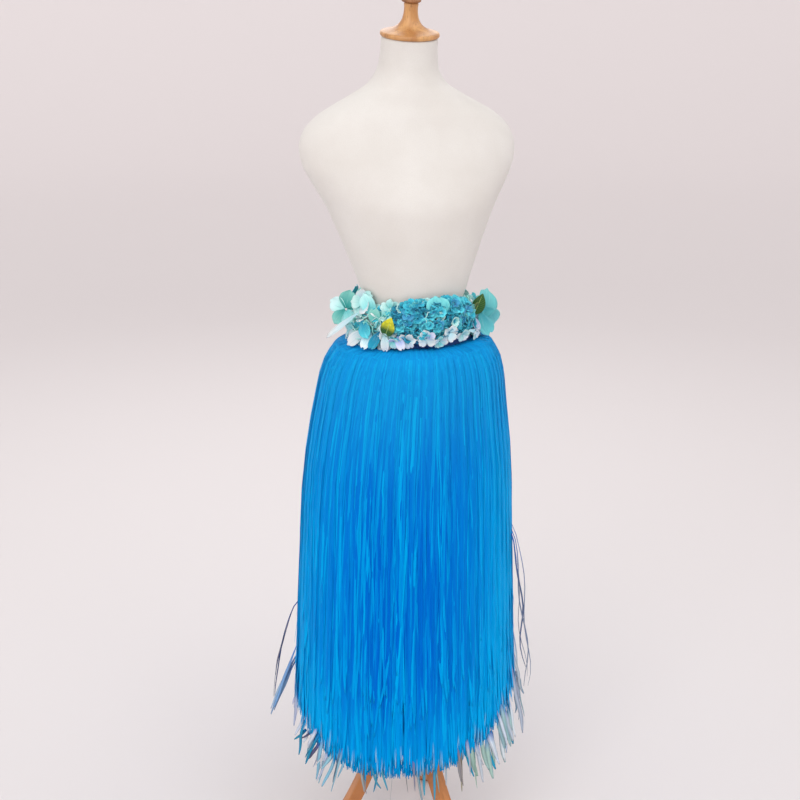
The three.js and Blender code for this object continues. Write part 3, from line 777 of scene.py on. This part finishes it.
def skirt():
    """The whole skirt in quarters, an outer and an inner layer in each, and the two loose locks."""
    rng = np.random.default_rng(41)
    material = strand_plastic()
    for number, quarter in enumerate(("front", "right", "back", "left")):
        nodes = [f"hank_{(4 * number + k - 2) % 16 + 1:02d}" for k in range(4)]
        span = np.radians([90 * number - 45, 90 * number + 45])
        strands(f"strands_{quarter}_outer", span, OUTER_LAYER, rng, material, nodes)
        strands(f"strands_{quarter}_inner", span, INNER_LAYER, rng, material)
    for side in ("left", "right"):
        stray_strands(side, f"stray_lock_{side}", rng, material)


# ---------------- flower belt

PETAL_BASE_AND_RIM_COLOURS = {  # colour at the base of a petal and at its rim; the paler rim is partly painted highlight
    "deep": ((10, 100, 142), (30, 162, 194)),
    "teal": ((14, 130, 168), (66, 206, 228)),
    "blue": ((22, 112, 172), (76, 178, 220)),
    "cyan": ((16, 150, 184), (100, 228, 242)),
    "mint": ((48, 176, 172), (158, 238, 226)),
    "pale": ((122, 218, 220), (210, 250, 246)),
    "white": ((176, 226, 238), (246, 253, 255)),
    "lilac": ((148, 172, 226), (226, 232, 252)),
    "sea": ((74, 176, 186), (126, 222, 224)),
}
SMALL_MIX = {"teal": 0.36, "cyan": 0.28, "deep": 0.13, "blue": 0.12, "sea": 0.06, "pale": 0.05}
LARGE_MIX = {"mint": 0.3, "cyan": 0.22, "pale": 0.26, "white": 0.14, "teal": 0.08}
# Banks of blooms packed over the belt: name, degrees round, height of its foot, bulge, spacing, radius, how
# far its petals are raised in degrees, share of each kind, a petal's faces along and across and its ripple,
# slot, the solids' blooms that it stands for
BANKS = [
    ("front_ruffles", (-32, 60), 1030, 15, 10.5, (8, 11.5), 28, SMALL_MIX, (4, 4, 0.09), "petal_teal",
     (7, 8)),
    ("back_ruffles", (152, 226), 1026, 15, 10.5, (8, 11.5), 28, SMALL_MIX, (4, 4, 0.09), "petal_teal",
     (4, 5, 6)),
    ("left_blooms", (-134, -36), 1026, 9, 16, (13, 17), 26, LARGE_MIX, (5, 4, 0.05), "petal_pale", (9, 10)),
    ("right_blooms", (64, 152), 1026, 9, 16, (13, 17), 26, LARGE_MIX, (5, 4, 0.05), "petal_pale", (11, 12)),
]
# Petals set one by one: the places of its start and end as (degrees round, height, distance out), width,
# the way its face looks as (degrees round, degrees up), kind
SET_PETALS = [
    ((-72, 1068, 32), (-106, 1014, 48), 11, (-26, 34), "white"),
    ((-66, 1040, 22), (-76, 1015, 28), 21, (-50, 15), "white"),
    ((-58, 1042, 22), (-57, 1015, 26), 18, (-40, 15), "white"),
    ((-47, 1044, 22), (-51, 1016, 25), 16, (-30, 15), "deep"),
    ((-42, 1040, 23), (-38, 1016, 25), 14, (-30, 10), "white"),
    ((-70, 1056, 26), (-56, 1034, 32), 22, (-38, 12), "cyan"),
    ((-62, 1062, 12), (-66, 1098, 18), 26, (-40, 15), "pale"),
    ((-54, 1050, 20), (-56, 1078, 19), 20, (-36, 20), "mint"),
    ((-46, 1054, 12), (-43, 1084, 9), 18, (-30, 10), "pale"),
    ((-38, 1040, 25), (-47, 1054, 27), 13, (-30, 10), "white"),
    ((-30, 1038, 20), (-24, 1018, 22), 15, (-20, -5), "lilac"),
    ((44, 1036, 22), (62, 1024, 29), 9, (36, 0), "white"),
    ((52, 1056, 22), (60, 1030, 28), 18, (40, 10), "lilac"),
    ((60, 1068, 22), (66, 1038, 28), 15, (36, 5), "white"),
    ((7, 1066, 22), (6, 1100, 15), 40, (2, 24), "sea"),
    ((24, 1064, 21), (23, 1092, 16), 24, (18, 20), "sea"),
    ((68, 1044, 34), (78, 1091, 47), 40, (16, 10), "sea"),
    ((68, 1066, 36), (82, 1018, 49), 42, (18, 4), "sea"),
    ((63, 1058, 33), (69, 1020, 36), 26, (-4, 4), "sea"),
]
# Open blooms set one by one: place, the way it looks, radius, how far its petals are raised in degrees,
# kinds that take turns
SET_BLOOMS = [
    ((-103, 1062, 36), (-32, 12), 31, 20, ("mint", "pale")),
    ((-76, 1082, 13), (-56, 20), 22, 22, ("pale", "white")),
    ((-88, 1034, 19), (-70, -10), 18, 25, ("pale", "cyan")),
    ((-21, 1032, 19), (-18, -24), 14.5, 16, ("white",)),
    ((-4, 1034, 19), (-12, -16), 15.5, 14, ("white", "white", "lilac")),
    ((8, 1028, 20), (4, -30), 12, 18, ("pale", "white")),
    ((19, 1039, 20), (16, -12), 15, 14, ("white",)),
    ((35, 1032, 20), (20, -24), 13, 18, ("pale", "white")),
    ((-33, 1029, 20), (-28, -24), 11.5, 20, ("pale", "lilac")),
    ((55, 1028, 22), (46, -20), 12, 16, ("white", "pale")),
    ((-114, 1036, 24), (-112, -5), 21, 22, ("cyan",)),
    ((-128, 1068, 24), (-124, 15), 26, 24, ("cyan", "teal")),
    ((-148, 1050, 24), (-146, 0), 24, 22, ("white",)),
    ((100, 1050, 30), (104, 0), 28, 22, ("cyan", "mint")),
    ((118, 1068, 22), (120, 18), 25, 25, ("pale",)),
    ((134, 1046, 24), (134, -4), 26, 22, ("mint",)),
]
# Leaves: places of the start and end, width, degrees round that the face looks, share of yellow
SET_LEAVES = [
    ((-41, 1038, 25), (-35, 1070, 28), 24, -30, 1.0),
    ((57, 1058, 26), (62, 1091, 30), 24, 8, 0.02),
    ((60, 1068, 27), (49, 1080, 27), 15, 4, 0.12),
    ((142, 1056, 20), (146, 1092, 26), 18, 140, 0.3),
    ((-158, 1052, 20), (-163, 1090, 26), 18, -160, 0.4),
    ((-126, 1060, 26), (-138, 1084, 32), 16, -128, 0.2),
    ((186, 1058, 22), (180, 1088, 28), 15, 184, 0.5),
    ((112, 1036, 24), (122, 1018, 34), 14, 116, 0.1),
]
# Petals at the belt's foot: degrees round from, over how many degrees, how many
FOOT_PETALS = (70, 222, 26)
FOOT_HEIGHTS, FOOT_OUT = ((1034, 1042), (1014, 1021)), (17, (20, 25))  # of their starts, of their ends
FOOT_WIDTHS = (14, 21)
BELT_RADIUS = 115  # gives the number of blooms along a bank
PETAL_CLOTH, LEAF_CLOTH = 0.4 * MM, 0.7 * MM
PETAL_GAP = 1.2 * MM  # least distance from petals and leaves to the form and the ribbon
HEADS_TOP, HEADS_RISE, HEADS_DEPTH = 1022 * MM, 8 * MM, 6 * MM  # the strands' heads, under the belt
WIDEST = 0.58  # share of a petal's length at its widest


def clear_of_form(points, gap):
    """Points nearer to the form, the ribbon or the strands' tops than gap are moved level outward to it."""
    local = points - AXIS
    height = local[..., 2]
    wide, deep, centre, _ = profile_at(FORM_PROFILE, height)
    on_heads = np.clip((HEADS_TOP - height) / HEADS_RISE, 0, 1)
    behind = HUG + RIBBON_WALL * (height < RIBBON_TOP + MM) + HEADS_DEPTH * on_heads
    x, y = local[..., 0], local[..., 1] - centre
    share = np.hypot(x / (wide + behind + gap), y / (deep + behind + gap))
    push = np.maximum(1, 1 / np.maximum(share, 1e-6))
    return AXIS + np.stack([x * push, centre + y * push, height], -1)


def laid_out(start, way, look, down, across, high):
    """Points of sheets that leave start along way and face look, from how far each point is down the sheet,
    across it and above it; all clear of the form."""
    look = unit(look - way * np.einsum("ij,ij->i", look, way)[:, None])
    aside = np.cross(look, way)
    points = (
        start[:, None, None] + way[:, None, None] * down[..., None]
        + aside[:, None, None] * across[..., None] + look[:, None, None] * high[..., None]
    )
    return clear_of_form(points, PETAL_GAP)


def bloom_petals(seat, face, radius, raised, kinds, rng, count=5):
    """Petals of open blooms: starts, ways, faces, lengths, widths and kinds. They lie evenly round their
    bloom's middle with a little jitter, and each is raised out of the bloom's plane."""
    shape = (len(seat), count)
    right = unit(np.cross([0, 0, 1.0], face))
    above = np.cross(face, right)
    phase = rng.uniform(0, TAU, (len(seat), 1)) + TAU * np.arange(count) / count
    phase = phase + rng.normal(0, 0.12, shape)
    out = np.cos(phase)[..., None] * right[:, None] + np.sin(phase)[..., None] * above[:, None]
    lift = (raised[:, None] + rng.normal(0, np.radians(6), shape))[..., None]
    way = out * np.cos(lift) + face[:, None] * np.sin(lift)
    look = face[:, None] * np.cos(lift) - out * np.sin(lift)
    start = seat[:, None] + out * radius[:, None, None] * 0.06
    length = radius[:, None] * rng.uniform(0.88, 1.08, shape)
    width = length * rng.uniform(0.86, 1.1, shape)
    kinds = [kind[k % len(kind)] for kind in kinds for k in range(count)]
    return *(v.reshape(-1, 3) for v in (start, way, look)), length.ravel(), width.ravel(), kinds


def between_ends(start, end, look, width, kinds):
    """Petals from their starts and ends, in the form that bloom_petals returns."""
    return start, unit(end - start), look, np.linalg.norm(end - start, axis=1), width * MM, kinds


def petals(name, petal_set, grid, rng, material, slot, nodes=()):
    """Petals as thin sheets.

    At share s of the length and t from -1 to 1 across, a petal's half width is a sine from a narrow base
    up to its widest share and an ellipse from there to the tip; its edges rise as t^2, its tip falls back
    as s^3, and waves along the rim grow as s^2.
    """
    start, way, look, length, width, kinds = petal_set
    rows, columns, ripple = grid
    each = (len(length), 1, 1)
    s = (1 - (1 - np.linspace(0, 1, rows + 1)) ** 1.45)[None, :, None]
    t = np.linspace(-1, 1, columns + 1)[None, None, :]
    base = 0.22 + 0.78 * np.sin(np.pi / 2 * np.clip(s / WIDEST, 0, 1)) ** 1.2
    tip = np.maximum(1 - (np.maximum(s - WIDEST, 0) / (1.02 - WIDEST)) ** 2.5, 0) ** 0.5
    shape = np.where(s < WIDEST, base, tip)
    phase = rng.uniform(0, TAU, (3, *each))
    deep, curl = rng.uniform(0.1, 0.42, each), rng.uniform(-0.05, 0.32, each)
    long, wide = length[:, None, None], width[:, None, None]
    waves = np.sin(4.3 * t + 2 * s + phase[0]) + 0.7 * np.sin(7.9 * t - 3 * s + phase[1])
    notch = 1 - 0.05 * np.cos(3 * t + phase[2]) * s**3
    high = deep * wide * 0.5 * shape * t**2 - curl * long * s**3 + ripple * long * s**2 * waves
    points = laid_out(start, way, look, long * s * notch, wide / 2 * shape * t, high)

    inner, rim = (linear([PETAL_BASE_AND_RIM_COLOURS[kind][k] for kind in kinds])[:, None, None] for k in (0, 1))
    # The share towards the rim colour grows along the petal and towards its long edges: partly the petal's
    # own paler rim, partly a painted highlight where its raised edges catch the light.
    shade = np.clip(s**1.3 + 0.18 * np.abs(t) ** 3 + rng.normal(0, 0.16, each), 0, 1)[..., None]
    dye = np.clip(blend(inner, rim, shade) * rng.uniform(0.8, 1.14, (*each, 1)), 0, 1)
    along = uv((t + 1) / 2 + rng.integers(0, 40, each), s)
    made = piece(name, points, sheets(points), material, slot, dye=dye, along=along, nodes=nodes,
                 thickness=PETAL_CLOTH)


def belt_top(angle):
    """Height of the belt's upper edge: highest a little right of the front's middle, and at the back."""
    return 1080 + 14 * np.cos(2 * (angle - 0.14))


def bank(span, foot, bulge, spacing, radius, raised, mix, rng):
    """Petals of blooms packed over the belt's rounded face: rows from its foot to its top at each angle,
    evenly spaced with a jitter."""
    steepest_down, steepest_up, standoff = -76, 80, 6
    first, last = np.radians(span)
    highest = np.max(belt_top(np.array([first, last, (first + last) / 2])))
    rows = int(round(1.5 * (highest - foot) / spacing)) + 1
    steps = int(round((last - first) * BELT_RADIUS / spacing))
    row, step = np.repeat(np.arange(rows), steps), np.tile(np.arange(steps), rows)
    count = len(row)
    angle = first + (last - first) * (step + 0.5 * (row % 2) + rng.normal(0, 0.22, count)) / steps
    lean = np.radians(np.linspace(steepest_down, steepest_up, rows)[row] + rng.normal(0, 7, count))
    high = belt_top(angle)
    height = (high + foot) / 2 + (high - foot) / 2 * np.sin(lean) * 0.92 + rng.normal(0, 1.5, count)
    out = standoff + bulge * np.cos(lean) + rng.normal(0, 1.8, count)
    seat = on_form(angle, height * MM, out * MM)
    face = face_of(angle + rng.normal(0, 0.3, count), lean * 0.6 + rng.normal(0, 0.3, count))
    size = rng.uniform(*radius, count) * MM
    chosen = rng.choice(list(mix), (count, 1), p=list(mix.values()))
    return bloom_petals(seat, face, size, np.radians(rng.normal(raised, 8, count)), chosen, rng)


def flower_belt():
    """Belt: the banks of packed blooms, the blooms and petals of the two tables over them, and single
    petals round its foot at the back and sides."""
    rng = np.random.default_rng(7)
    material = petal_cloth()
    for name, *shape, grid, slot, numbers in BANKS:
        nodes = [f"bloom_{number:02d}" for number in numbers]
        petals(name, bank(*shape, rng), grid, rng, material, slot, nodes)

    seats, looks, radius, raised, kinds = zip(*SET_BLOOMS)
    face, radius = face_of(*np.radians(looks).T), np.array(radius) * MM
    open_blooms = bloom_petals(placed(seats), face, radius, np.radians(raised), kinds, rng)
    petals("open_blooms", open_blooms, (8, 7, 0.03), rng, material, "petal_pale", ["bloom_02", "bloom_03"])

    starts, tips, width, looks, kinds = zip(*SET_PETALS)
    face = face_of(*np.radians(looks).T)
    single = between_ends(placed(starts), placed(tips), face, np.array(width), kinds)
    petals("set_petals", single, (9, 8, 0.02), rng, material, "petal_pale", ["bloom_01"])

    first, spread, count = FOOT_PETALS
    angle = np.radians(first + (np.arange(count) + rng.normal(0, 0.15, count)) * spread / count)
    (from_high, to_high), (from_out, to_out) = FOOT_HEIGHTS, FOOT_OUT
    start = on_form(angle, rng.uniform(*from_high, count) * MM, np.full(count, from_out * MM))
    swing = angle + rng.normal(0, 0.05, count)
    end = on_form(swing, rng.uniform(*to_high, count) * MM, rng.uniform(*to_out, count) * MM)
    look = face_of(angle, np.full(count, -0.1))
    width = rng.uniform(*FOOT_WIDTHS, count)
    kinds = rng.choice(["white", "pale", "lilac"], count, p=[0.5, 0.3, 0.2])
    foot = between_ends(start, end, look, width, kinds)
    petals("foot_petals", foot, (6, 5, 0.04), rng, material, "petal_pale")


def leaves():
    """Leaves: half width sin(pi s^0.8) at share s, folded along the midrib, bent back as s^2 and waved along
    the edges."""
    rng = np.random.default_rng(3)
    starts, tips, width, look, yellow = zip(*SET_LEAVES)
    start, end = placed(starts), placed(tips)
    width, yellow = np.array(width)[:, None, None] * MM, np.array(yellow)[:, None, None]
    length, way = np.linalg.norm(end - start, axis=1)[:, None, None], unit(end - start)
    look = face_of(np.radians(look), np.full(len(start), 0.2))
    share = np.linspace(0, 1, 17)[None, :, None]
    side = np.linspace(-1, 1, 9)[None, None, :]
    half = width / 2 * np.maximum(np.sin(np.pi * share**0.8), 0.04) ** 0.8
    phase = rng.uniform(0, TAU, (len(start), 1, 1))
    fold, bend, rim = 0.3 * half * np.abs(side), 0.12 * length * share**2, 0.6 * MM * side**2
    high = fold + bend + rim * np.sin(9 * share + phase)
    points = laid_out(start, way, look, length * share, half * side, high)
    yellow = (yellow * np.clip(share * 3 - 0.9, 0, 1))[..., None]
    dye = np.broadcast_to(blend(linear(LEAF_DARK), linear(LEAF_BRIGHT), yellow), points.shape)
    along = uv((side + 1) / 2, share + 0 * phase)
    made = piece("belt_leaves", points, sheets(points), leaf_cloth(), "leaf", dye=dye, along=along,
                 nodes=["leaf_1", "leaf_2", "leaf_3", "leaf_4"], thickness=LEAF_CLOTH)


# ---------------- studio


def add(data, name):
    """A light, camera or mesh as an object of the scene."""
    made = bpy.data.objects.new(name, data)
    bpy.context.scene.collection.objects.link(made)
    return made


def soft_light(name, place, target, size, power, colour):
    """Square area light at place that looks at target."""
    data = bpy.data.lights.new(name, "AREA")
    data.shape, data.size, data.energy, data.color = "SQUARE", size, power, colour
    light = add(data, name)
    light.location = place
    light.rotation_euler = (light.location - Vector(target)).to_track_quat("Z", "Y").to_euler()


def soft_sun(name, above, around, strength):
    """Wide soft sun that shines from an angle above the floor and an angle round."""
    data = bpy.data.lights.new(name, "SUN")
    data.energy, data.angle = strength, math.radians(70)
    add(data, name).rotation_euler = (math.radians(90 - above), 0, math.radians(around))


def studio():
    """Pale floor, flat round the stand and rising far out as a bowl, with painted light and shade that grade
    its tone outward; pale surroundings and soft lights.
    """
    f = Finish("floor_painted_light", Specular_IOR_Level=0.1)
    away, across, _ = f.parts(f.place())
    distance = (away * away + across * across) ** 0.5
    flat, furthest, steepness = 9, 31, 0.035
    angle = np.linspace(0, TAU, 96, endpoint=False)[None, :]
    reach = np.linspace(0.05, furthest, 84)[:, None]
    height = steepness * np.clip(reach - flat, 0, None) ** 2
    rings = np.stack([reach * np.sin(angle), reach * np.cos(angle), height + 0 * angle], -1)
    number = numbered(rings)
    faces = quads(number, np.roll(number, -1, axis=1))[:, ::-1].tolist() + [number[0].tolist()]
    mesh = bpy.data.meshes.new("floor")
    mesh.from_pydata(rings.reshape(-1, 3).tolist(), [], faces)
    mesh.shade_smooth()
    # Painted light and shade: the floor's tone changes with the distance from the stand.
    mesh.materials.append(f.finish(f.ramp(distance / FLOOR_SHADED, FLOOR_PAINTED_LIGHT), 0.9))
    floor = add(mesh, "floor")
    world = bpy.data.worlds.new("studio")
    world.use_nodes = True
    background = world.node_tree.nodes["Background"].inputs
    background["Color"].default_value = (0.93, 0.90, 0.905, 1)
    background["Strength"].default_value = 0.7
    bpy.context.scene.world = world
    soft_light("key", (-1.9, -2.6, 2.6), (0, 0, 0.6), 2.2, 27, (1, 0.985, 0.97))
    soft_sun("fill", 22, 50, 0.74)
    soft_sun("overhead", 47, -12, 0.9)
    soft_sun("left_side", 8, -80, 0.68)
    soft_sun("right_side", 8, 75, 0.95)
    soft_light("back", (0.4, 2.6, 2.8), (0, 0, 0.8), 1.8, 16, (1, 1, 1))


def camera():
    """Camera level with the form's neck, to the left of the front, tipped down."""
    around, down = math.radians(-16), math.radians(18)
    back, height, aside = 1.963, 1.526, -0.013
    data = bpy.data.cameras.new("camera")
    data.sensor_width, data.lens = 36, 53.1
    made = add(data, "camera")
    sin, cos = math.sin(around), math.cos(around)
    made.location = AXIS + [back * sin + aside * cos, -back * cos + aside * sin, height]
    made.rotation_euler = (math.pi / 2 - down, 0, around)
    bpy.context.scene.camera = made


bpy.context.scene.view_settings.view_transform = "Standard"
camera()
studio()
dress_form()
neck_top()
legs()
stand()
waist_ribbon()
skirt()
flower_belt()
leaves()
